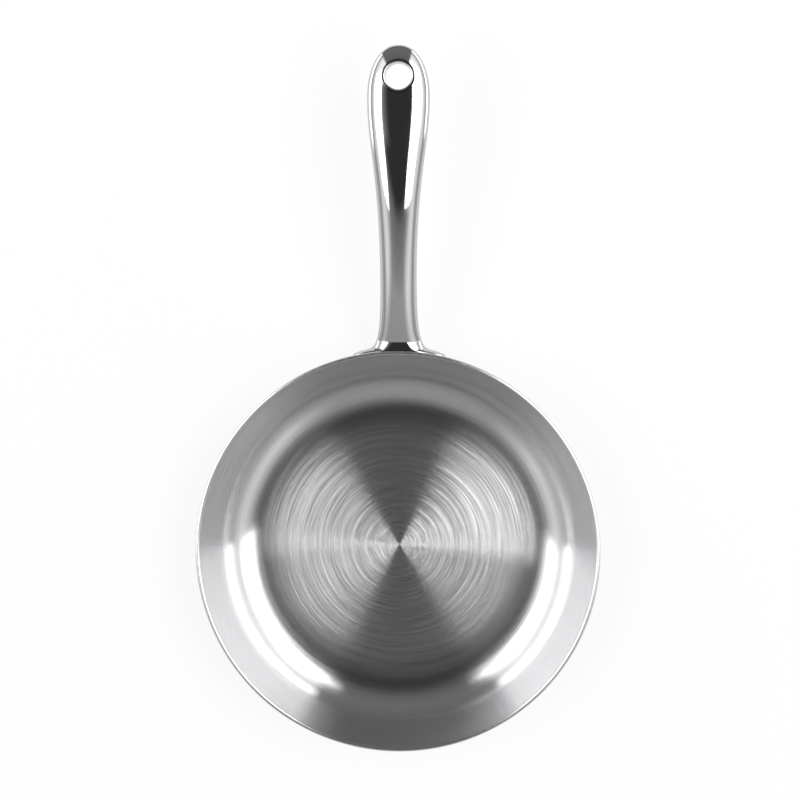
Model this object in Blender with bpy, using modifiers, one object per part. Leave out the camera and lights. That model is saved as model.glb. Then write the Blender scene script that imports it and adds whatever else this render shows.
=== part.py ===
# Stainless steel frying pan: a three-ply vessel and a hollow, polished handle welded to its wall.
# Metres, +Z up. The origin is the centre of the flat underside, and the handle points along +Y.

import math

import bmesh
import bpy

# Vessel. Its wall is one bend line, floor to rim, that every ply follows at its own depth.
RIM_RADIUS = 0.121        # outside of the round rim
RIM_HEIGHT = 0.0356       # top of the rim above the underside
WALL_RUN = 0.038          # from the edge of the flat floor out to the rim, level
CORNER_RADIUS = 0.030     # inside radius between the floor and the sloping wall
INNER_PLY = 0.0005        # stainless cooking surface
CORE_PLY = 0.0013         # aluminium
OUTER_PLY = 0.0005        # magnetic stainless
BOND_LINE = 0.00015       # between one ply and the next

# Hollow handle, measured from the place where its seam meets the wall.
ROOT_DROP = 0.0114        # from the top of the rim down to the seam at the wall
HANDLE_REACH = 0.1817     # from the wall to the tip
HANDLE_RISE = 0.0368      # from the seam at the wall up to the seam at the tip
ROOT_PITCH = math.radians(25.0)
TIP_PITCH = math.radians(1.0)
NOSE_LENGTH = 0.030       # from the widest place to the tip
GRIP_WIDTH = 0.0359       # at the widest place
NECK_WIDTH = 0.0214       # at the narrowest place
NECK_DISTANCE = 0.0477    # from the wall to the narrowest place
ROOT_WIDTH = 0.0552       # across the two wings at the wall
WING_DEPTH = 0.0042       # how far the wings stand out from the wall
WING_SWEEP = math.radians(24.0)
WING_CORNER = 0.0034      # rounding at the ends of the wings
ROOT_TUCK = 0.0170        # how far in under the wall the root would close to a point
CROWN_HEIGHT = 0.0063     # upper shell above the seam
KEEL_DEPTH = 0.0052       # lower shell below the seam, along the grip
ROOT_KEEL_DEPTH = 0.0090  # lower shell below the seam, at the wall
SHELL_WALL = 0.0012
SEAM_GAP = 0.0003

# Hanging hole and its lining tube.
HOLE_TO_TIP = 0.0180      # from the hole's centre to the tip
BORE_RADIUS = 0.0078
TUBE_WALL = 0.0015
TUBE_LIP = 0.0004         # rounding on the tube's edges
TUBE_CLEARANCE = 0.00025

# Saddle bracket inside the root, and the welds that hold it.
SEAT_GAP = 0.0003         # between faces that touch on the finished pan
BRACKET_WALL = 0.0015
WELD_THICKNESS = 0.0006
WELD_RADIUS = 0.0025
WELD_SPREAD = 0.0120      # from the middle of the root to each weld, sideways
WELD_ROW = 0.0040         # from the seam to each row of welds, along the wall

# Fullness of the handle's curves: 2 is an ellipse, and more is squarer.
SECTION_POWER = 2.2
WING_POWER = 1.6
NOSE_POWER = 2.15

# How far each curve of the handle's plan runs straight on, as a share of its own stretch.
NECK_PULL = 0.57          # from the neck towards the grip
GRIP_PULL = 0.26          # from the widest place back towards the neck
ROOT_PULL = 1.10          # from the neck towards the wing
WING_PULL = 0.70          # from the wing in towards the neck, across the handle
TUCK_SHARE = 0.88         # part of the tuck that is drawn before the wall trims it

# Facets.
TURN_STEPS = 72           # round the vessel
CORNER_STEPS = 6
RIM_STEPS = 3             # over each ply's part of the rim
HOLE_STEPS = 36
WELD_STEPS = 16
SECTION_STEPS = 12        # over the crown of the handle
TUCK_STEPS = 5
WING_STEPS = 4
ROOT_STEPS = 10
GRIP_STEPS = 8
NOSE_STEPS = 8
SHARP_EDGE = math.radians(40)
CUT_MARGIN = 0.030        # how far a cutting tool runs past the piece it cuts

STEEL = (0.62, 0.61, 0.60)
POLISHED_STEEL = (0.70, 0.69, 0.69)
ALUMINIUM = (0.78, 0.78, 0.79)

# Sizes that follow from the ones above.
WALL = INNER_PLY + CORE_PLY + OUTER_PLY + 2 * BOND_LINE
HALF_WALL = WALL / 2
FLOOR_RADIUS = RIM_RADIUS - WALL_RUN
BEND = CORNER_RADIUS + HALF_WALL
RIM_MID = (RIM_RADIUS - HALF_WALL, RIM_HEIGHT - HALF_WALL)


def straight_wall():
    # Slope and length of the straight wall: the tangent from the corner's arc to the middle of the rim.
    run = RIM_MID[0] - FLOOR_RADIUS
    climb = RIM_MID[1] - HALF_WALL - BEND
    straight = math.sqrt(run ** 2 + climb ** 2 - BEND ** 2)
    return math.atan2(climb, run) + math.atan2(BEND, straight), straight


SLOPE, STRAIGHT = straight_wall()
ALONG = (math.cos(SLOPE), math.sin(SLOPE))
OUTWARD = (math.sin(SLOPE), -math.cos(SLOPE))


def corner_point(turn, depth):
    # Point on the corner's arc, where the wall's slope is the turn. Depth is from mid-wall outwards.
    radius = BEND + depth
    return FLOOR_RADIUS + radius * math.sin(turn), HALF_WALL + BEND - radius * math.cos(turn)


def bend_line(depth):
    # Floor and corner of one surface, from the axis out.
    level = HALF_WALL - depth
    turns = [SLOPE * step / CORNER_STEPS for step in range(CORNER_STEPS + 1)]
    return [(0.0, level)] + [corner_point(turn, depth) for turn in turns]


def rim_point(depth, past=0.0):
    # Point at the end of the wall, or further along the wall's slope.
    return (RIM_MID[0] + depth * OUTWARD[0] + past * ALONG[0],
            RIM_MID[1] + depth * OUTWARD[1] + past * ALONG[1])


def wall_point(down, depth):
    # Radius, height and slope of the wall at a distance down from its end, round the corner too.
    if down <= STRAIGHT:
        return (*rim_point(depth, -down), SLOPE)
    turn = SLOPE - (down - STRAIGHT) / BEND
    return (*corner_point(turn, depth), turn)


def rim_round(first, last):
    # The ground edge is one half circle over all the plies.
    start = math.acos(-first / HALF_WALL)
    end = math.acos(-last / HALF_WALL)
    points = []
    for step in range(RIM_STEPS + 1):
        turn = start + (end - start) * step / RIM_STEPS
        points.append(rim_point(-HALF_WALL * math.cos(turn), HALF_WALL * math.sin(turn)))
    return points


ROOT_HEIGHT = RIM_HEIGHT - ROOT_DROP
ROOT_DOWN = (rim_point(HALF_WALL)[1] - ROOT_HEIGHT) / ALONG[1]
ROOT_Y = wall_point(ROOT_DOWN, HALF_WALL)[0]
TIP_Y = ROOT_Y + HANDLE_REACH
GRIP_Y = TIP_Y - NOSE_LENGTH
NECK_Y = ROOT_Y + NECK_DISTANCE
HOLE_Y = TIP_Y - HOLE_TO_TIP


def spine(y):
    # Height and slope of the seam, seen from the side: straight inside the wall, then one cubic.
    start = math.tan(ROOT_PITCH)
    end = math.tan(TIP_PITCH)
    if y < ROOT_Y:
        return ROOT_HEIGHT + start * (y - ROOT_Y), start
    u = (y - ROOT_Y) / HANDLE_REACH
    rise = start * HANDLE_REACH * (u - 2 * u ** 2 + u ** 3)
    rise += HANDLE_RISE * (3 * u ** 2 - 2 * u ** 3)
    rise += end * HANDLE_REACH * (u ** 3 - u ** 2)
    slope = start * (1 - 4 * u + 3 * u ** 2)
    slope += HANDLE_RISE / HANDLE_REACH * (6 * u - 6 * u ** 2)
    slope += end * (3 * u ** 2 - 2 * u)
    return ROOT_HEIGHT + rise, slope


def bezier(points, steps):
    # Points along a cubic, without its first one.
    result = []
    for step in range(1, steps + 1):
        t = step / steps
        weights = ((1 - t) ** 3, 3 * t * (1 - t) ** 2, 3 * t ** 2 * (1 - t), t ** 3)
        result.append(tuple(sum(w * p[axis] for w, p in zip(weights, points)) for axis in (0, 1)))
    return result


def handle_outline():
    # Plan of the handle as (y, half width), from inside the wall to the tip.
    root_half = ROOT_WIDTH / 2
    neck_half = NECK_WIDTH / 2
    grip_half = GRIP_WIDTH / 2
    sweep = (math.sin(WING_SWEEP), math.cos(WING_SWEEP))
    wing_side = (ROOT_Y, root_half)
    wing_end = (ROOT_Y + WING_DEPTH, root_half - WING_CORNER)
    corner_in = (ROOT_Y + WING_CORNER, root_half)
    corner_out = (wing_end[0] - WING_CORNER * sweep[0], wing_end[1] + WING_CORNER * sweep[1])
    wing_run = (wing_end[1] - neck_half) * WING_PULL
    wing_in = (wing_end[0] + wing_run * sweep[0], wing_end[1] - wing_run * sweep[1])
    root_pull = (NECK_Y - ROOT_PULL * (NECK_DISTANCE - WING_DEPTH), neck_half)
    neck = (NECK_Y, neck_half)
    neck_pull = (NECK_Y + NECK_PULL * (GRIP_Y - NECK_Y), neck_half)
    grip = (GRIP_Y, grip_half)
    grip_pull = (GRIP_Y - GRIP_PULL * (GRIP_Y - NECK_Y), grip_half)
    outline = []
    for step in range(TUCK_STEPS, -1, -1):
        inward = TUCK_SHARE * step / TUCK_STEPS
        outline.append((ROOT_Y - inward * ROOT_TUCK, root_half * math.sqrt(1 - inward ** 2)))
    outline += bezier((wing_side, corner_in, corner_out, wing_end), WING_STEPS)
    outline += bezier((wing_end, wing_in, root_pull, neck), ROOT_STEPS)
    outline += bezier((neck, neck_pull, grip_pull, grip), GRIP_STEPS)
    for step in range(1, NOSE_STEPS + 1):
        turn = math.pi / 2 * step / NOSE_STEPS
        narrow = round(math.cos(turn), 9) ** (2 / NOSE_POWER)
        outline.append((GRIP_Y + NOSE_LENGTH * math.sin(turn) ** (2 / NOSE_POWER), grip_half * narrow))
    return outline


def inset_outline(outline, inset):
    # The same plan, moved inwards square to its own run.
    result = []
    for index, point in enumerate(outline):
        before = outline[max(index - 1, 0)]
        after = outline[min(index + 1, len(outline) - 1)]
        run = (after[0] - before[0], after[1] - before[1])
        if index == len(outline) - 1:
            run = (0.0, -1.0)
        length = math.hypot(*run)
        result.append((point[0] + inset * run[1] / length, point[1] - inset * run[0] / length))
    return result


def handle_sections(inset):
    # Each station gives (y, half width, height over the seam, depth under it, power).
    outline = handle_outline()
    stations = []
    for (y, half), (inset_y, inset_half) in zip(outline, inset_outline(outline, inset)):
        past = max(y - GRIP_Y, 0.0) / NOSE_LENGTH
        fullness = max(1 - past ** NOSE_POWER, 0.0) ** (1 / NOSE_POWER)
        flare = 0.0
        if y < NECK_Y:
            flare = (2 * half - NECK_WIDTH) / (ROOT_WIDTH - NECK_WIDTH)
        near = min(max((NECK_Y - y) / NECK_DISTANCE, 0.0), 1.0) ** 2
        keel = KEEL_DEPTH + (ROOT_KEEL_DEPTH - KEEL_DEPTH) * near
        power = SECTION_POWER + (WING_POWER - SECTION_POWER) * flare
        stations.append((inset_y, max(inset_half, 0.0), (CROWN_HEIGHT - inset) * fullness,
                         (keel - inset) * fullness, power))
    return stations


def section_arc(station, side):
    # Half of one cross-section, from its +X edge over to its -X edge. Side is 1 above the seam.
    y, half, crown, keel, power = station
    height = crown if side > 0 else keel
    level = spine(y)[0]
    points = []
    for step in range(SECTION_STEPS + 1):
        turn = math.pi * step / SECTION_STEPS
        across = round(math.cos(turn), 9)
        up = round(math.sin(turn), 9)
        x = math.copysign(half * abs(across) ** (2 / power), across)
        z = level + side * (SEAM_GAP / 2 + height * up ** (2 / power))
        points.append((x, y, z))
    return points


def new_object(name, mesh, collection, colour=None, roughness=0.3):
    piece = bpy.data.objects.new(name, mesh)
    collection.objects.link(piece)
    if colour is None:
        piece.hide_render = True
        piece.display_type = "WIRE"
    else:
        material = bpy.data.materials.new(name)
        material.use_nodes = True
        shader = material.node_tree.nodes["Principled BSDF"]
        shader.inputs["Base Color"].default_value = (*colour, 1.0)
        shader.inputs["Roughness"].default_value = roughness
        shader.inputs["Metallic"].default_value = 1.0
        mesh.materials.append(material)
    return piece


def turned(name, profile, collection, closed, **look):
    # Profile in (radius, height), turned about the Z axis.
    mesh = bpy.data.meshes.new(name)
    edges = [(index, index + 1) for index in range(len(profile) - 1)]
    if closed:
        edges.append((len(profile) - 1, 0))
    mesh.from_pydata([(radius, 0.0, height) for radius, height in profile], edges, [])
    piece = new_object(name, mesh, collection, **look)
    screw = piece.modifiers.new("Turn", "SCREW")
    screw.steps = TURN_STEPS
    screw.render_steps = TURN_STEPS
    screw.use_merge_vertices = True
    screw.merge_threshold = 0.00001
    screw.use_smooth_shade = True
    return piece


def strips(mesh_data, rows):
    # Quads between neighbouring rows of vertices.
    for lower, upper in zip(rows, rows[1:]):
        for index in range(len(lower) - 1):
            mesh_data.faces.new((lower[index], lower[index + 1], upper[index + 1], upper[index]))


def finish_mesh(mesh_data, name):
    bmesh.ops.remove_doubles(mesh_data, verts=mesh_data.verts, dist=0.000001)
    bmesh.ops.recalc_face_normals(mesh_data, faces=mesh_data.faces)
    mesh = bpy.data.meshes.new(name)
    mesh_data.to_mesh(mesh)
    mesh_data.free()
    mesh.shade_smooth()
    mesh.set_sharp_from_angle(angle=SHARP_EDGE)
    return mesh


def half_shell(name, side, collection, **look):
    # One drawn half of the hollow handle, open at the seam and at the wall, closed at the tip.
    data = bmesh.new()
    outer = [[data.verts.new(p) for p in section_arc(s, side)] for s in handle_sections(0.0)]
    inner = [[data.verts.new(p) for p in section_arc(s, side)] for s in handle_sections(SHELL_WALL)]
    strips(data, outer)
    strips(data, inner)
    strips(data, [outer[0], inner[0]])
    for edge in (0, -1):
        strips(data, [[row[edge] for row in outer], [row[edge] for row in inner]])
    return new_object(name, finish_mesh(data, name), collection, **look)


def handle_form(name, inset, collection, **look):
    # The whole handle as one closed form, inset from its outside.
    data = bmesh.new()
    rings = []
    for station in handle_sections(inset):
        over = section_arc(station, 1)
        under = section_arc(station, -1)
        ring = [data.verts.new(point) for point in over + under[::-1]]
        rings.append(ring + ring[:1])
    strips(data, rings)
    data.faces.new(rings[0][:-1])
    return new_object(name, finish_mesh(data, name), collection, **look)


def boolean(piece, cutter, operation="DIFFERENCE"):
    modifier = piece.modifiers.new(cutter.name, "BOOLEAN")
    modifier.operation = operation
    modifier.object = cutter
    modifier.solver = "EXACT"


def build_vessel(parts):
    inner_back = -HALF_WALL + INNER_PLY
    outer_front = HALF_WALL - OUTER_PLY
    layers = (
        ("inner_steel_ply", -HALF_WALL, inner_back, STEEL, 0.28),
        ("aluminium_core", inner_back + BOND_LINE, outer_front - BOND_LINE, ALUMINIUM, 0.35),
        ("outer_steel_ply", outer_front, HALF_WALL, STEEL, 0.30),
    )
    for name, front, back, colour, roughness in layers:
        profile = bend_line(front) + rim_round(front, back) + bend_line(back)[::-1]
        turned(name, profile, parts, closed=False, colour=colour, roughness=roughness)


def build_wall_cutter(cutters):
    # The filled vessel, one seat gap larger, which trims the handle's root to the wall.
    depth = HALF_WALL + SEAT_GAP
    top = rim_point(depth, CUT_MARGIN)
    profile = [(0.0, top[1]), top] + bend_line(depth)[::-1]
    return turned("wall_cutter", profile, cutters, closed=False)


def cylinder(name, radius, height, steps, place, turn, collection, **look):
    bpy.ops.mesh.primitive_cylinder_add(
        vertices=steps, radius=radius, depth=height, location=place, rotation=turn)
    made = bpy.context.object
    mesh = made.data
    mesh.name = name
    mesh.shade_smooth()
    mesh.set_sharp_from_angle(angle=SHARP_EDGE)
    piece = new_object(name, mesh, collection, **look)
    piece.location = place
    piece.rotation_euler = turn
    bpy.data.objects.remove(made)
    return piece


def hole_cylinder(name, radius, collection, **look):
    # Square to the handle at the hanging hole, and longer than the handle is thick.
    level, slope = spine(HOLE_Y)
    return cylinder(name, radius, CUT_MARGIN, HOLE_STEPS, (0.0, HOLE_Y, level),
                    (math.atan(slope), 0.0, 0.0), collection, **look)


def build_handle(parts, cutters):
    wall = build_wall_cutter(cutters)
    tube_radius = BORE_RADIUS + TUBE_WALL
    shell_hole = hole_cylinder("shell_hole_cutter", tube_radius + TUBE_CLEARANCE, cutters)
    for name, side in (("handle_upper_shell", 1), ("handle_lower_shell", -1)):
        shell = half_shell(name, side, parts, colour=POLISHED_STEEL, roughness=0.08)
        boolean(shell, wall)
        boolean(shell, shell_hole)

    # The lining tube is ground off flush with the outside of both shells.
    outside = handle_form("handle_outside", 0.0, cutters)
    bore = hole_cylinder("bore_cutter", BORE_RADIUS, cutters)
    tube = hole_cylinder("hanging_eyelet", tube_radius, parts, colour=POLISHED_STEEL, roughness=0.10)
    boolean(tube, outside, "INTERSECT")
    boolean(tube, bore)
    lip = tube.modifiers.new("Lip", "BEVEL")
    lip.width = TUBE_LIP
    lip.segments = 2
    lip.limit_method = "ANGLE"
    lip.angle_limit = math.radians(50)


def build_root(parts, cutters):
    # Saddle plate parallel to the wall, trimmed to the hollow of the handle's root.
    near = HALF_WALL + SEAT_GAP + WELD_THICKNESS + SEAT_GAP
    far = near + BRACKET_WALL
    band = bend_line(near)[2:] + [rim_point(near)]
    band += [rim_point(far)] + bend_line(far)[:1:-1]
    bracket = turned("root_bracket", band, parts, closed=True, colour=STEEL, roughness=0.4)
    hollow = handle_form("root_hollow", SHELL_WALL + SEAT_GAP, cutters)
    boolean(bracket, hollow, "INTERSECT")

    middle = HALF_WALL + SEAT_GAP + WELD_THICKNESS / 2
    number = 0
    for row in (1, -1):
        radius, height, slope = wall_point(ROOT_DOWN + row * WELD_ROW, middle)
        for side in (-1, 1):
            number += 1
            bearing = math.asin(side * WELD_SPREAD / radius)
            place = (radius * math.sin(bearing), radius * math.cos(bearing), height)
            cylinder(f"weld_nugget_{number}", WELD_RADIUS, WELD_THICKNESS, WELD_STEPS, place,
                     (slope, 0.0, -bearing), parts, colour=STEEL, roughness=0.5)


def new_collection(name):
    collection = bpy.data.collections.new(name)
    bpy.context.scene.collection.children.link(collection)
    return collection


def main():
    for old in list(bpy.data.objects):
        bpy.data.objects.remove(old, do_unlink=True)
    parts = new_collection("frying_pan")
    cutters = new_collection("cutters")
    build_vessel(parts)
    build_handle(parts, cutters)
    build_root(parts, cutters)


main()
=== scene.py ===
import math

import bpy
from mathutils import Matrix, Vector


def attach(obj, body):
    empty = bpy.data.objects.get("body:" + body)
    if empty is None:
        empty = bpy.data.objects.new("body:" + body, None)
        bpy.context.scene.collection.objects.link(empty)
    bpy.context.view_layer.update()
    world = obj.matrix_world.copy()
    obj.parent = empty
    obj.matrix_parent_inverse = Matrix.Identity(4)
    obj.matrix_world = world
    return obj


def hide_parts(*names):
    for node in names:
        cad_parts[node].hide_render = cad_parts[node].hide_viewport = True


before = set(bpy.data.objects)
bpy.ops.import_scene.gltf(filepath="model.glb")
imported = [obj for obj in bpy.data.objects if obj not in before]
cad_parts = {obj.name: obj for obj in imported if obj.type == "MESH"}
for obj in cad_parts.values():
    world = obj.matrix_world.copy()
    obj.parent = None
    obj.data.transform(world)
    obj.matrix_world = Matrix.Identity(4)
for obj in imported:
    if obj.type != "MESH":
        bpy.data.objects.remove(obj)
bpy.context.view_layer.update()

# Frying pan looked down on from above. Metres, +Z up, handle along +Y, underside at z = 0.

scene = bpy.context.scene
scene.view_settings.view_transform = "Standard"

mergeDistance = 0.000002
smoothAngle = math.radians(35)  # edges that turn more than this stay sharp


# Small helpers for working by hand

def deselectAll():
    if bpy.context.mode != "OBJECT":
        bpy.ops.object.mode_set(mode="OBJECT")
    bpy.ops.object.select_all(action="DESELECT")


def pick(piece):
    deselectAll()
    piece.select_set(True)
    bpy.context.view_layer.objects.active = piece


def openMesh(piece):
    pick(piece)
    bpy.ops.object.mode_set(mode="EDIT")
    bpy.ops.mesh.select_all(action="SELECT")


def closeMesh():
    bpy.ops.object.mode_set(mode="OBJECT")


def drawProfile(name, points):
    # a plane shrunk to one vertex, then pulled out from point to point in the XZ plane
    deselectAll()
    bpy.ops.mesh.primitive_plane_add(size=0.01)
    piece = bpy.context.object
    piece.name = name
    bpy.ops.object.mode_set(mode="EDIT")
    bpy.ops.mesh.merge(type="CENTER")
    bpy.ops.transform.translate(value=(points[0][0], 0, points[0][1]))
    for last, point in zip(points, points[1:]):
        step = (point[0] - last[0], 0, point[1] - last[1])
        bpy.ops.mesh.extrude_region_move(TRANSFORM_OT_translate={"value": step})
    closeMesh()
    return piece


def spinPiece(piece, steps):
    openMesh(piece)
    bpy.ops.mesh.spin(steps=steps, angle=math.tau, center=(0, 0, 0), axis=(0, 0, 1))
    bpy.ops.mesh.select_all(action="SELECT")
    bpy.ops.mesh.remove_doubles(threshold=mergeDistance)
    bpy.ops.mesh.normals_make_consistent(inside=False)
    closeMesh()


def smooth(piece):
    pick(piece)
    bpy.ops.object.shade_smooth_by_angle(angle=smoothAngle)


def cutAway(piece, tool):
    modifier = piece.modifiers.new("Cut", "BOOLEAN")
    modifier.object = tool
    modifier.operation = "DIFFERENCE"
    modifier.solver = "MANIFOLD"  # the exact one empties the lower shell
    pick(piece)
    bpy.ops.object.modifier_apply(modifier=modifier.name)


def standFor(piece, node):
    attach(piece, "root")
    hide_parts(node)


# Materials
def newMetal(name):
    material = bpy.data.materials.new(name)
    material.use_nodes = True
    tree = material.node_tree
    shader = tree.nodes["Principled BSDF"]
    shader.inputs["Metallic"].default_value = 1.0
    return material, tree, shader


def addNode(tree, kind, **settings):
    made = tree.nodes.new(kind)
    for key, value in settings.items():
        setattr(made, key, value)
    return made


def calculate(tree, operation, first, second=None):
    made = addNode(tree, "ShaderNodeMath", operation=operation)
    for socket, value in zip(made.inputs, (first, second)):
        if value is None:
            continue
        if isinstance(value, (int, float)):
            socket.default_value = value
        else:
            tree.links.new(value, socket)
    return made.outputs[0]


def spread(tree, value, low, high, outLow, outHigh):
    made = addNode(tree, "ShaderNodeMapRange")
    made.inputs["From Min"].default_value = low
    made.inputs["From Max"].default_value = high
    made.inputs["To Min"].default_value = outLow
    made.inputs["To Max"].default_value = outHigh
    tree.links.new(value, made.inputs["Value"])
    return made.outputs["Result"]


def scaledColour(tree, colour, value):
    made = addNode(tree, "ShaderNodeVectorMath", operation="SCALE")
    made.inputs[0].default_value = colour
    tree.links.new(value, made.inputs["Scale"])
    return made.outputs[0]


def ringCoordinates(tree):
    # distance from the pan's axis, and the level direction away from it
    place = addNode(tree, "ShaderNodeTexCoord").outputs["Object"]
    level = addNode(tree, "ShaderNodeVectorMath", operation="MULTIPLY")
    level.inputs[1].default_value = (1, 1, 0)
    tree.links.new(place, level.inputs[0])
    length = addNode(tree, "ShaderNodeVectorMath", operation="LENGTH")
    tree.links.new(level.outputs[0], length.inputs[0])
    outward = addNode(tree, "ShaderNodeVectorMath", operation="NORMALIZE")
    tree.links.new(level.outputs[0], outward.inputs[0])
    return length.outputs["Value"], outward.outputs[0]


def ringNoise(tree, distance, outward, across, along, detail):
    # noise drawn out into rings: many changes across the rings, few along them
    turned = addNode(tree, "ShaderNodeVectorMath", operation="SCALE")
    turned.inputs["Scale"].default_value = along
    tree.links.new(outward, turned.inputs[0])
    parts = addNode(tree, "ShaderNodeSeparateXYZ")
    tree.links.new(turned.outputs[0], parts.inputs[0])
    joined = addNode(tree, "ShaderNodeCombineXYZ")
    tree.links.new(calculate(tree, "MULTIPLY", distance, across), joined.inputs[0])
    tree.links.new(parts.outputs[0], joined.inputs[1])
    tree.links.new(parts.outputs[1], joined.inputs[2])
    noise = addNode(tree, "ShaderNodeTexNoise")
    noise.inputs["Scale"].default_value = 1.0
    noise.inputs["Detail"].default_value = detail
    tree.links.new(joined.outputs[0], noise.inputs["Vector"])
    return noise.outputs["Fac"]


noiseSpan = (0.3, 0.7)  # nearly all of a noise lies between these


# Stainless steel brushed round and round: the grooves follow circles about the pan's axis.
def brushedSteel(name, finish):
    material, tree, shader = newMetal(name)
    distance, outward = ringCoordinates(tree)
    tree.links.new(outward, shader.inputs["Tangent"])
    shader.inputs["Anisotropic"].default_value = finish["anisotropic"]
    fine = ringNoise(tree, distance, outward, finish["fineAcross"], finish["fineAlong"], 2.0)
    broad = ringNoise(tree, distance, outward, finish["broadAcross"], finish["broadAlong"], 3.0)
    change = spread(tree, distance, *finish["edge"], *finish["rings"])
    tone = calculate(tree, "MULTIPLY", calculate(tree, "SUBTRACT", broad, 0.5), change)
    # here and there a single groove stands out as a thin bright line
    line = ringNoise(tree, distance, outward, finish["lineAcross"], finish["lineAlong"], 0.0)
    line = calculate(tree, "ABSOLUTE", calculate(tree, "SUBTRACT", line, 0.5))
    tone = calculate(tree, "ADD", tone, spread(tree, line, *finish["lineEdge"], 1 + finish["lines"], 1.0))
    tree.links.new(scaledColour(tree, finish["colour"], tone), shader.inputs["Base Color"])
    roughness = spread(tree, distance, *finish["edge"], *finish["roughness"])
    uneven = finish["uneven"]
    roughness = calculate(tree, "ADD", roughness, spread(tree, broad, *noiseSpan, -uneven, uneven))
    tree.links.new(roughness, shader.inputs["Roughness"])
    # the grooves tip the surface inwards and outwards, most of all in the middle
    depth = spread(tree, distance, *finish["edge"], *finish["grooves"])
    middle = spread(tree, distance, *finish["middle"], finish["middleGrooves"], 0.0)
    depth = calculate(tree, "ADD", depth, middle)
    tip = calculate(tree, "MULTIPLY", calculate(tree, "SUBTRACT", fine, 0.5), depth)
    tilt = addNode(tree, "ShaderNodeVectorMath", operation="SCALE")
    tree.links.new(outward, tilt.inputs[0])
    tree.links.new(tip, tilt.inputs["Scale"])
    tipped = addNode(tree, "ShaderNodeVectorMath", operation="ADD")
    tree.links.new(addNode(tree, "ShaderNodeNewGeometry").outputs["Normal"], tipped.inputs[0])
    tree.links.new(tilt.outputs[0], tipped.inputs[1])
    normal = addNode(tree, "ShaderNodeVectorMath", operation="NORMALIZE")
    tree.links.new(tipped.outputs[0], normal.inputs[0])
    tree.links.new(normal.outputs[0], shader.inputs["Normal"])
    return material


hazeRoughness, hazeTone = 0.2, 0.015  # shares of the finish's own roughness and colour


# Steel buffed until it mirrors, with the faint haze that a polishing wheel leaves.
def polishedSteel(name, finish):
    material, tree, shader = newMetal(name)
    place = addNode(tree, "ShaderNodeTexCoord").outputs["Object"]
    stretch = addNode(tree, "ShaderNodeMapping")
    stretch.inputs["Scale"].default_value = finish["grain"]
    tree.links.new(place, stretch.inputs["Vector"])
    haze = addNode(tree, "ShaderNodeTexNoise")
    haze.inputs["Scale"].default_value = 1.0
    haze.inputs["Detail"].default_value = 3.0
    tree.links.new(stretch.outputs["Vector"], haze.inputs["Vector"])
    rough, hazy = finish["roughness"], haze.outputs["Fac"]
    roughness = spread(tree, hazy, *noiseSpan, rough * (1 - hazeRoughness), rough * (1 + hazeRoughness))
    tree.links.new(roughness, shader.inputs["Roughness"])
    tone = spread(tree, hazy, *noiseSpan, 1 - hazeTone, 1 + hazeTone)
    tree.links.new(scaledColour(tree, finish["colour"], tone), shader.inputs["Base Color"])
    return material


cookingFinish = {
    "colour": (0.745, 0.742, 0.752), "anisotropic": 1.0,
    # the brushing is coarse on the floor and turns smoother over its edge, between two radii
    "edge": (0.066, 0.083), "roughness": (0.25, 0.17), "grooves": (1.2, 0.3), "rings": (0.34, 0.08),
    "middle": (0.004, 0.026), "middleGrooves": 0.3,
    "fineAcross": 9000.0, "fineAlong": 1.0, "broadAcross": 1500.0, "broadAlong": 0.3,
    "lineAcross": 240.0, "lineAlong": 0.06, "lineEdge": (0.005, 0.03), "lines": 0.08, "uneven": 0.01,
}
outsideFinish = {
    "colour": (0.66, 0.657, 0.663), "anisotropic": 0.8,
    "edge": (0.066, 0.084), "roughness": (0.34, 0.30), "grooves": (0.6, 0.4), "rings": (0.2, 0.1),
    "middle": (0.004, 0.026), "middleGrooves": 0.2,
    "fineAcross": 9000.0, "fineAlong": 1.0, "broadAcross": 1500.0, "broadAlong": 0.5,
    "lineAcross": 200.0, "lineAlong": 0.06, "lineEdge": (0.005, 0.03), "lines": 0.06, "uneven": 0.01,
}
rimFinish = {"colour": (0.72, 0.71, 0.71), "roughness": 0.16, "grain": (300.0, 300.0, 300.0)}
coreFinish = {"colour": (0.80, 0.80, 0.81), "roughness": 0.22, "grain": (500.0, 500.0, 500.0)}
handleFinish = {"colour": (0.72, 0.717, 0.725), "roughness": 0.055, "grain": (500.0, 60.0, 500.0)}
eyeletFinish = {"colour": (0.70, 0.69, 0.69), "roughness": 0.07, "grain": (400.0, 400.0, 60.0)}
hiddenFinish = {"colour": (0.50, 0.49, 0.48), "roughness": 0.40, "grain": (300.0, 300.0, 300.0)}


# Vessel: three plies that follow one bend line, floor to rim
vessel = {
    "rimRadius": 0.121, "rimHeight": 0.0356, "floorRadius": 0.083, "cornerRadius": 0.030,
    "innerPly": 0.0005, "corePly": 0.0013, "outerPly": 0.0005, "bondLine": 0.00015,
    "bondShare": 0.45,  # how far the steel plies reach into the bond line, the core filling the rest
    "coreGap": 0.00002, "beforeCorner": 0.0012, "beforeRim": 0.0008, "rimPolish": 0.0004,
    "cornerSteps": 28, "rimSteps": 6, "turnSteps": 288,
}
wall = vessel["innerPly"] + vessel["corePly"] + vessel["outerPly"] + 2 * vessel["bondLine"]
halfWall = wall / 2
bend = vessel["cornerRadius"] + halfWall
rimMiddle = (vessel["rimRadius"] - halfWall, vessel["rimHeight"] - halfWall)
wallRun = rimMiddle[0] - vessel["floorRadius"]
wallClimb = rimMiddle[1] - halfWall - bend
straightWall = math.sqrt(wallRun ** 2 + wallClimb ** 2 - bend ** 2)
slope = math.atan2(wallClimb, wallRun) + math.atan2(bend, straightWall)
alongWall = (math.cos(slope), math.sin(slope))
awayFromWall = (math.sin(slope), -math.cos(slope))


def wallEnd(depth, past=0.0):
    return tuple(rimMiddle[axis] + depth * awayFromWall[axis] + past * alongWall[axis] for axis in (0, 1))


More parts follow.
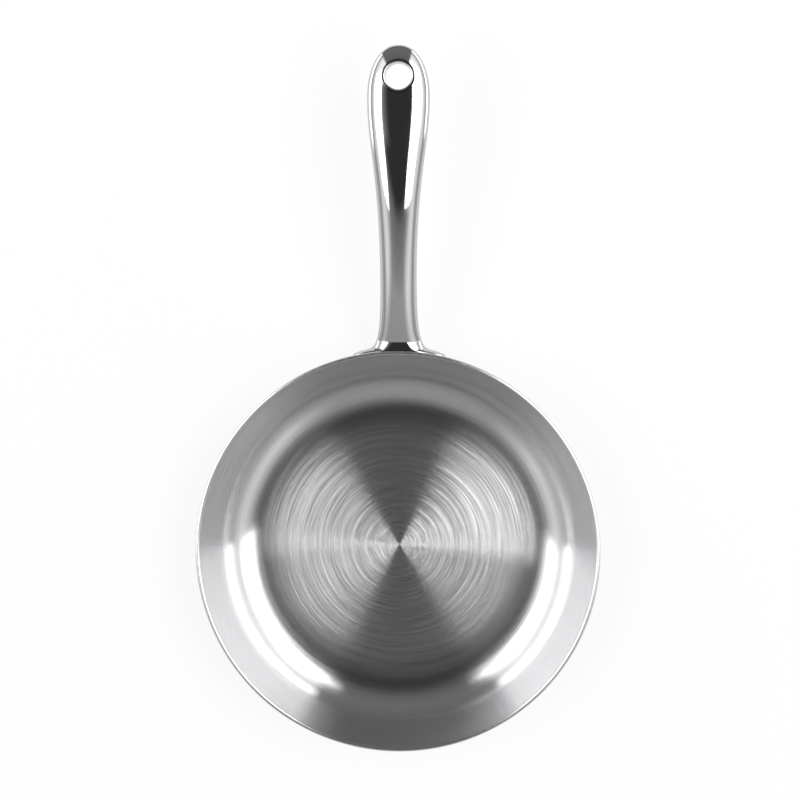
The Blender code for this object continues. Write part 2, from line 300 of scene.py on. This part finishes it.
def bendLine(depth, steps):
    # floor, corner and wall of one surface; depth runs from mid-wall outwards
    level, floor, radius = halfWall - depth, vessel["floorRadius"], bend + depth
    points = [(0.0, level), (floor / 2, level), (floor - vessel["beforeCorner"], level)]
    for step in range(steps + 1):
        turn = slope * step / steps
        points.append((floor + radius * math.sin(turn), halfWall + bend - radius * math.cos(turn)))
    points.append(wallEnd(depth, -vessel["beforeRim"]))
    return points


def rimRound(first, last, steps):
    start, end = math.acos(-first / halfWall), math.acos(-last / halfWall)
    points = []
    for step in range(steps + 1):
        turn = start + (end - start) * step / steps
        points.append(wallEnd(-halfWall * math.cos(turn), halfWall * math.sin(turn)))
    return points


def makePly(name, front, back, node, finishes):
    points = bendLine(front, vessel["cornerSteps"]) + rimRound(front, back, vessel["rimSteps"])
    points += bendLine(back, vessel["cornerSteps"])[::-1]
    piece = drawProfile(name, points)
    spinPiece(piece, vessel["turnSteps"])
    smooth(piece)
    for finish in finishes:
        piece.data.materials.append(finish)
    # the last finish goes on the rim, past a line across the wall
    rimStart = wallEnd(0.0, -vessel["rimPolish"])
    for face in piece.data.polygons:
        out, up = face.center.xy.length - rimStart[0], face.center.z - rimStart[1]
        past = out * alongWall[0] + up * alongWall[1]
        face.material_index = len(finishes) - 1 if past > 0 else 0
    standFor(piece, node)


innerBack = -halfWall + vessel["innerPly"] + vessel["bondLine"] * vessel["bondShare"]
outerFront = halfWall - vessel["outerPly"] - vessel["bondLine"] * vessel["bondShare"]
rimSteel = polishedSteel("polishedRimSteel", rimFinish)
makePly("cookingSheet", -halfWall, innerBack, "inner_steel_ply",
        (brushedSteel("brushedCookingSteel", cookingFinish), rimSteel))
makePly("coreSheet", innerBack + vessel["coreGap"], outerFront - vessel["coreGap"],
        "aluminium_core", (polishedSteel("coreAluminium", coreFinish),))
makePly("outerSheet", outerFront, halfWall, "outer_steel_ply",
        (brushedSteel("satinOutsideSteel", outsideFinish), rimSteel))
print("vessel: three plies spun")


# Handle: two shells lofted along a curved seam
handle = {
    "rootDrop": 0.0114, "reach": 0.1817, "rise": 0.0368,
    "rootPitch": math.radians(25.0), "tipPitch": math.radians(1.0), "nose": 0.030,
    "gripWidth": 0.0359, "neckWidth": 0.0214, "neckDistance": 0.0477,
    "rootWidth": 0.0552, "wingDepth": 0.0042, "wingSweep": math.radians(24.0), "wingCorner": 0.0034,
    "tuck": 0.0170, "tuckShare": 0.88,
    "crown": 0.0063, "rootCrown": 0.0053, "heel": 0.0106, "heelPower": 1.5,
    "keel": 0.0052, "rootKeel": 0.0090, "sheet": 0.0012, "seam": 0.00004,
    "wallGap": 0.00005, "wallToolRise": 0.03,
    "sectionPower": 2.2, "wingPower": 1.6, "nosePower": 2.15,
    "neckPull": 0.57, "gripPull": 0.26, "rootPull": 1.10, "wingPull": 0.70,
    "arcSteps": 80, "tuckSteps": 10, "wingSteps": 12, "rootSteps": 44, "gripSteps": 100, "noseSteps": 44,
}
rootHeight = vessel["rimHeight"] - handle["rootDrop"]
outerTop = wallEnd(halfWall)
rootY = outerTop[0] - (outerTop[1] - rootHeight) * alongWall[0] / alongWall[1]
tipY = rootY + handle["reach"]
gripY = tipY - handle["nose"]
neckY = rootY + handle["neckDistance"]


def seamHeight(y):
    start, end = math.tan(handle["rootPitch"]), math.tan(handle["tipPitch"])
    if y < rootY:
        return rootHeight + start * (y - rootY)
    # a smooth rise between the two pitches
    share = (y - rootY) / handle["reach"]
    rise = start * handle["reach"] * (share - 2 * share ** 2 + share ** 3)
    rise += handle["rise"] * (3 * share ** 2 - 2 * share ** 3)
    return rootHeight + rise + end * handle["reach"] * (share ** 3 - share ** 2)


def curve(points, steps):
    # a curve pulled between its first and last point by the two between them
    made = []
    for step in range(1, steps + 1):
        share = step / steps
        rest = 1 - share
        pulls = (rest ** 3, 3 * share * rest ** 2, 3 * share ** 2 * rest, share ** 3)
        made.append(tuple(sum(pull * point[axis] for pull, point in zip(pulls, points)) for axis in (0, 1)))
    return made


def handleOutline():
    # plan of the handle as (y, half width), from inside the wall to the tip
    rootHalf, neckHalf, gripHalf = (handle[width] / 2 for width in ("rootWidth", "neckWidth", "gripWidth"))
    swing, corner = handle["wingSweep"], handle["wingCorner"]
    wingEnd = (rootY + handle["wingDepth"], rootHalf - corner)
    wingRun = (wingEnd[1] - neckHalf) * handle["wingPull"]
    rootRun = handle["rootPull"] * (handle["neckDistance"] - handle["wingDepth"])
    outline = []
    for step in range(handle["tuckSteps"], -1, -1):
        inward = handle["tuckShare"] * step / handle["tuckSteps"]
        outline.append((rootY - inward * handle["tuck"], rootHalf * math.sqrt(1 - inward ** 2)))
    outline += curve(((rootY, rootHalf), (rootY + corner, rootHalf),
                      (wingEnd[0] - corner * math.sin(swing), wingEnd[1] + corner * math.cos(swing)),
                      wingEnd), handle["wingSteps"])
    outline += curve((wingEnd,
                      (wingEnd[0] + wingRun * math.sin(swing), wingEnd[1] - wingRun * math.cos(swing)),
                      (neckY - rootRun, neckHalf), (neckY, neckHalf)), handle["rootSteps"])
    outline += curve(((neckY, neckHalf), (neckY + handle["neckPull"] * (gripY - neckY), neckHalf),
                      (gripY - handle["gripPull"] * (gripY - neckY), gripHalf), (gripY, gripHalf)),
                     handle["gripSteps"])
    for step in range(1, handle["noseSteps"] + 1):
        turn = math.pi / 2 * step / handle["noseSteps"]
        narrow = round(math.cos(turn), 9) ** (2 / handle["nosePower"])
        forward = math.sin(turn) ** (2 / handle["nosePower"])
        outline.append((gripY + handle["nose"] * forward, gripHalf * narrow))
    return outline


plan = handleOutline()


def sectionPoint(station, turn, side):
    # a point of one cross-section, half turn 0..pi from the +X edge to the -X edge
    y, half = station
    past = max(y - gripY, 0.0) / handle["nose"]
    fullness = max(1 - past ** handle["nosePower"], 0.0) ** (1 / handle["nosePower"])
    flare = 0.0
    if y < neckY:
        flare = (2 * half - handle["neckWidth"]) / (handle["rootWidth"] - handle["neckWidth"])
    power = handle["sectionPower"] + (handle["wingPower"] - handle["sectionPower"]) * flare
    near = min(max((neckY - y) / handle["neckDistance"], 0.0), 1.0) ** 2
    keel = handle["keel"] + (handle["rootKeel"] - handle["keel"]) * near
    # above, the root levels off over its last stretch down to the wall
    crown = handle["crown"] + (handle["rootCrown"] - handle["crown"]) * near
    crown += max(seamHeight(rootY + handle["heel"]) - seamHeight(y), 0.0)
    if side > 0:
        power += handle["heelPower"] * min(max((rootY + handle["heel"] - y) / handle["heel"], 0.0), 1.0)
    height = (crown if side > 0 else keel) * fullness
    across, up = round(math.cos(turn), 9), round(math.sin(turn), 9)
    x = math.copysign(half * abs(across) ** (2 / power), across)
    return Vector((x, y, seamHeight(y) + side * (handle["seam"] / 2 + height * up ** (2 / power))))


def lofted(name, side):
    # a grid laid over the cross-sections, one row to a station
    steps, rows = handle["arcSteps"], len(plan) - 1
    deselectAll()
    bpy.ops.mesh.primitive_grid_add(x_subdivisions=steps, y_subdivisions=rows, size=1)
    piece = bpy.context.object
    piece.name = name
    for vertex in piece.data.vertices:
        column = round((0.5 - vertex.co.x) * steps)
        row = round((vertex.co.y + 0.5) * rows)
        vertex.co = sectionPoint(plan[row], math.pi * column / steps, side)
    openMesh(piece)
    bpy.ops.mesh.remove_doubles(threshold=mergeDistance)
    bpy.ops.mesh.normals_make_consistent(inside=False)
    closeMesh()
    return piece


def makeShell(name, side, node):
    piece = lofted(name, side)
    # the skin faces outwards before it gets its thickness inwards
    if sum(face.normal.z * face.area for face in piece.data.polygons) * side < 0:
        openMesh(piece)
        bpy.ops.mesh.flip_normals()
        closeMesh()
    thicken = piece.modifiers.new("Sheet", "SOLIDIFY")
    thicken.thickness = handle["sheet"]
    thicken.offset = -1
    pick(piece)
    bpy.ops.object.modifier_apply(modifier=thicken.name)
    for tool in (wallTool, shellHole):
        cutAway(piece, tool)
    smooth(piece)
    piece.data.materials.clear()
    piece.data.materials.append(handleSteel)
    standFor(piece, node)


def makeWallTool():
    # the filled vessel, a hair larger, trims the root to the wall
    depth = halfWall + handle["wallGap"]
    top = wallEnd(depth, handle["wallToolRise"])
    piece = drawProfile("wallTool", [(0.0, top[1]), top] + bendLine(depth, vessel["cornerSteps"])[::-1])
    spinPiece(piece, vessel["turnSteps"])
    return piece


# Hanging hole and the tube that lines it
eyelet = {
    "toTip": 0.0180, "bore": 0.0078, "tube": 0.0015, "gap": 0.00025, "tilt": math.radians(-3.5),
    "half": 0.01,  # the tube is drawn this long either way, before its ends take the skin's height
    "roll": 0.0006, "cutLength": 0.03, "rollSteps": 8, "steps": 128,
}
holeY = tipY - eyelet["toTip"]
holeMiddle = (0, holeY, seamHeight(holeY))


def makeHoleTool():
    radius = eyelet["bore"] + eyelet["tube"] + eyelet["gap"]
    deselectAll()
    bpy.ops.mesh.primitive_cylinder_add(vertices=eyelet["steps"], radius=radius, depth=eyelet["cutLength"],
                                        location=holeMiddle, rotation=(eyelet["tilt"], 0, 0))
    piece = bpy.context.object
    piece.name = "shellHole"
    bpy.ops.object.transform_apply(location=True, rotation=True, scale=True)
    return piece


handleSteel = polishedSteel("polishedHandleSteel", handleFinish)
wallTool = makeWallTool()
shellHole = makeHoleTool()
makeShell("upperShell", 1, "handle_upper_shell")
makeShell("lowerShell", -1, "handle_lower_shell")
print("handle: shells lofted, trimmed to the wall and pierced")


def skinHeight(x, y, side):
    # height of the handle's skin over or under a point near the tip
    for (yBefore, halfBefore), (yAfter, halfAfter) in zip(plan, plan[1:]):
        if yBefore <= y <= yAfter:
            half = halfBefore + (halfAfter - halfBefore) * (y - yBefore) / (yAfter - yBefore)
            turn = math.acos((abs(x) / half) ** (handle["sectionPower"] / 2))
            return sectionPoint((y, half), turn, side).z


def rolledEnd(side):
    # from the outside of the tube over its rolled end into the bore
    points = []
    for step in range(eyelet["rollSteps"] + 1):
        turn = math.pi / 2 * step / eyelet["rollSteps"]
        points.append((eyelet["bore"] + eyelet["tube"] * (1 - math.sin(turn)),
                       side * (eyelet["half"] - eyelet["roll"] * (1 - math.cos(turn)))))
    return points


def makeEyelet():
    points = rolledEnd(1) + rolledEnd(-1)[::-1]
    tube = drawProfile("hangingTube", points + points[:1])
    spinPiece(tube, eyelet["steps"])
    # both ends are draped over the handle's skin, and the bore leans with its tilt
    for vertex in tube.data.vertices:
        side = math.copysign(1, vertex.co.z)
        y = holeY + vertex.co.y
        z = skinHeight(vertex.co.x, y, side) + vertex.co.z - side * eyelet["half"]
        vertex.co = (vertex.co.x, y - (z - holeMiddle[2]) * math.tan(eyelet["tilt"]), z)
    smooth(tube)
    tube.data.materials.clear()
    tube.data.materials.append(polishedSteel("polishedEyeletSteel", eyeletFinish))
    standFor(tube, "hanging_eyelet")


makeEyelet()
for tool in (wallTool, shellHole):
    bpy.data.objects.remove(tool)
print("hanging hole: tube set in")


# Hidden bracket and welds keep their solids
hiddenSteel = polishedSteel("unpolishedSteel", hiddenFinish)
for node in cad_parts.values():
    if not node.hide_render:
        node.data.materials.clear()
        node.data.materials.append(hiddenSteel)


# Studio
studio = {
    # the floor glows with part of its light for the camera and for mirroring steel, and keeps the shadow
    "floorSize": 12.0, "floorColour": (0.90, 0.90, 0.91), "floorShare": 0.80,
    "floorSeen": 1.045, "floorMirrored": 0.76,
    "lampHeight": 1.25,
    # centre across, centre along, width, length, turn, radiance
    "rightBox": (0.68, 0.30, 0.70, 1.16, -3.0, 2.7),
    "leftBox": (-0.88, 0.20, 0.66, 0.96, -3.0, 2.5),
    # brightness of the room by the height of the direction: beside the tip and the vessel, past both ends
    "tipSides": ((0.0, 1.6), (0.12, 2.8), (0.30, 2.8), (0.34, 0.45), (0.50, 0.5),
                 (0.70, 1.1), (0.85, 1.3), (0.92, 0.25), (0.97, 0.035)),
    "vesselSides": ((0.0, 0.3), (0.14, 0.5), (0.24, 0.5), (0.30, 0.28), (0.40, 0.42),
                    (0.50, 0.72), (0.66, 0.95), (0.76, 0.75), (0.84, 0.36), (0.93, 0.035)),
    "tipRoom": ((0.0, 0.25), (0.16, 0.13), (0.45, 0.18), (0.67, 0.18), (0.88, 0.15),
                (0.93, 0.09), (0.97, 0.03)),
    "vesselRoom": ((0.0, 0.40), (0.20, 0.30), (0.34, 0.31), (0.60, 0.36), (0.75, 0.39),
                   (0.87, 0.23), (0.91, 0.18), (0.94, 0.035)),
    # bearing of each wall, and the alignment with it between which it takes over
    "sideTurn": -0.5, "tipTurn": -6.5, "vesselTurn": 187.0,
    "sideEdge": (-0.19, -0.14), "tipEdge": (0.76, 0.81), "vesselEdge": (0.74, 0.92),
}


def makeFloor():
    deselectAll()
    bpy.ops.mesh.primitive_plane_add(size=studio["floorSize"])
    floor = bpy.context.object
    floor.name = "studioFloor"
    material = bpy.data.materials.new("paleFloor")
    material.use_nodes = True
    tree = material.node_tree
    tree.nodes.clear()
    diffuse = addNode(tree, "ShaderNodeBsdfDiffuse")
    diffuse.inputs["Color"].default_value = (*studio["floorColour"], 1)
    glow = addNode(tree, "ShaderNodeEmission")
    path = addNode(tree, "ShaderNodeLightPath")
    camera = path.outputs["Is Camera Ray"]
    strength = spread(tree, camera, 0, 1, studio["floorMirrored"], studio["floorSeen"])
    tree.links.new(strength, glow.inputs["Strength"])
    seen = calculate(tree, "ADD", camera, path.outputs["Is Glossy Ray"])
    seen = calculate(tree, "ADD", seen, path.outputs["Is Transmission Ray"])
    share = calculate(tree, "MULTIPLY", seen, studio["floorShare"])
    mix = addNode(tree, "ShaderNodeMixShader")
    tree.links.new(share, mix.inputs[0])
    tree.links.new(diffuse.outputs[0], mix.inputs[1])
    tree.links.new(glow.outputs[0], mix.inputs[2])
    output = addNode(tree, "ShaderNodeOutputMaterial")
    tree.links.new(mix.outputs[0], output.inputs["Surface"])
    floor.data.materials.append(material)


def addSoftbox(name, box):
    across, along, width, length, turn, radiance = box
    lamp = bpy.data.lights.new(name, "AREA")
    lamp.shape = "RECTANGLE"
    lamp.size = width
    lamp.size_y = length
    lamp.energy = radiance * math.pi * width * length
    softbox = bpy.data.objects.new(name, lamp)
    scene.collection.objects.link(softbox)
    softbox.location = (across, along, studio["lampHeight"])
    softbox.rotation_euler = (0, 0, math.radians(turn))
    softbox.visible_camera = False


def stepped(tree, value, stops):
    ramp = addNode(tree, "ShaderNodeValToRGB")
    tree.links.new(value, ramp.inputs["Fac"])
    elements = ramp.color_ramp.elements
    while len(elements) < len(stops):
        elements.new(0.5)
    for element, (position, level) in zip(elements, stops):
        element.position = position
        element.color = (level, level, level, 1)
    return ramp.outputs["Color"]


def blendColours(tree, share, first, second):
    mix = addNode(tree, "ShaderNodeMix", data_type="RGBA")
    tree.links.new(share, mix.inputs["Factor"])
    tree.links.new(first, mix.inputs[6])  # 6 and 7 are the two colours, and output 2 is their blend
    tree.links.new(second, mix.inputs[7])
    return mix.outputs[2]


def alignment(tree, bearing, degrees):
    # how far a direction agrees with the handle's, 1 along it and -1 against it
    turn = math.radians(degrees)
    made = addNode(tree, "ShaderNodeVectorMath", operation="DOT_PRODUCT")
    made.inputs[1].default_value = (math.sin(turn), math.cos(turn), 0)
    tree.links.new(bearing, made.inputs[0])
    return made.outputs["Value"]


def makeRoom():
    # bright walls beside the handle, greys beside the vessel and past both ends, under a dark ceiling
    world = bpy.data.worlds.new("studioRoom")
    scene.world = world
    world.use_nodes = True
    tree = world.node_tree
    direction = addNode(tree, "ShaderNodeTexCoord").outputs["Generated"]
    parts = addNode(tree, "ShaderNodeSeparateXYZ")
    tree.links.new(direction, parts.inputs[0])
    up = parts.outputs["Z"]
    level = addNode(tree, "ShaderNodeVectorMath", operation="MULTIPLY")
    level.inputs[1].default_value = (1, 1, 0)
    tree.links.new(direction, level.inputs[0])
    bearing = addNode(tree, "ShaderNodeVectorMath", operation="NORMALIZE")
    tree.links.new(level.outputs[0], bearing.inputs[0])
    aside = alignment(tree, direction, studio["sideTurn"])
    ahead = alignment(tree, bearing.outputs[0], studio["tipTurn"])
    behind = alignment(tree, bearing.outputs[0], studio["vesselTurn"])
    room = stepped(tree, up, studio["vesselSides"])
    for ramp, value, edge in (("tipSides", aside, "sideEdge"), ("tipRoom", ahead, "tipEdge"),
                              ("vesselRoom", behind, "vesselEdge")):
        share = spread(tree, value, *studio[edge], 0.0, 1.0)
        room = blendColours(tree, share, room, stepped(tree, up, studio[ramp]))
    background = tree.nodes["Background"]
    tree.links.new(room, background.inputs["Color"])
    background.inputs["Strength"].default_value = 1.0


makeFloor()
makeRoom()
addSoftbox("rightSoftbox", studio["rightBox"])
addSoftbox("leftSoftbox", studio["leftBox"])
print("studio: floor, room and softboxes")


# Camera, where the photograph was taken from
camera = {
    "lens": 86.45, "sensor": 36.0,
    "place": (0.0502, 0.1931, 1.1681), "pitch": -5.107, "yaw": 2.472, "roll": 0.646,
}
lens = bpy.data.cameras.new("photoCamera")
lens.lens = camera["lens"]
lens.sensor_width = camera["sensor"]
photoCamera = bpy.data.objects.new("photoCamera", lens)
scene.collection.objects.link(photoCamera)
turn = Matrix.Rotation(math.radians(camera["pitch"]), 4, "X")
turn = turn @ Matrix.Rotation(math.radians(camera["yaw"]), 4, "Y")
turn = turn @ Matrix.Rotation(math.radians(camera["roll"]), 4, "Z")
photoCamera.matrix_world = Matrix.Translation(camera["place"]) @ turn
scene.camera = photoCamera
